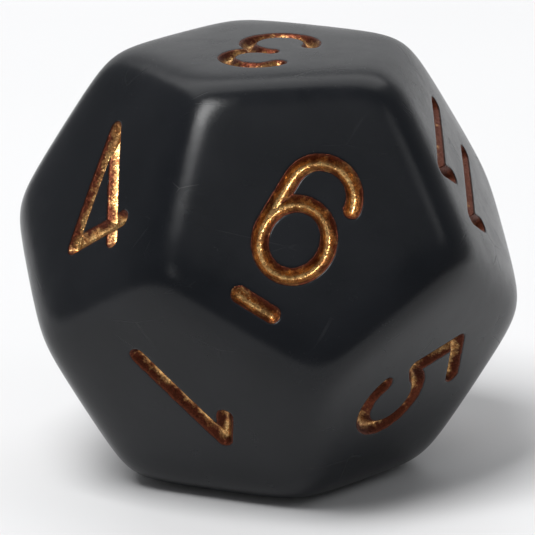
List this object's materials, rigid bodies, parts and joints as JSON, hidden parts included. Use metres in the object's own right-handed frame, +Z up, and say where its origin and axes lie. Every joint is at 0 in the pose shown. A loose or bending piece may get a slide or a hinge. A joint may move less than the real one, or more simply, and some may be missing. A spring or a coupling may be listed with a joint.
{
  "type": "polyhedral die",
  "caption": "Regular pentagonal-faced gaming die with tumbled, rounded edges and engraved, painted numerals; it rests on any flat face and reads from the opposite one.",
  "frame": {"origin": "centre of the bottom face, the one numbered ten, on the surface the die rests on", "axes": "+Z up, through the middles of the ten and three faces; the six face looks towards -Y and upwards; +X completes a right-handed frame"},
  "size_m": [0.0208, 0.0212, 0.0185],
  "materials": {
    "charcoal_plastic": "tumbled satin-gloss, opaque dark charcoal grey",
    "copper_paint": "metallic copper-gold paint, fine flake, hand wiped"
  },
  "bodies": {
    "root": {"die_body": "charcoal_plastic", "numeral_1": "copper_paint", "numeral_2": "copper_paint", "numeral_3": "copper_paint", "numeral_4": "copper_paint", "numeral_5": "copper_paint", "numeral_6": "copper_paint", "underline_6": "copper_paint", "numeral_7": "copper_paint", "numeral_8": "copper_paint", "numeral_9": "copper_paint", "underline_9": "copper_paint", "numeral_10_one": "copper_paint", "numeral_10_zero": "copper_paint", "numeral_11_left_one": "copper_paint", "numeral_11_right_one": "copper_paint", "numeral_12_one": "copper_paint", "numeral_12_two": "copper_paint"}
  },
  "joints": []
}
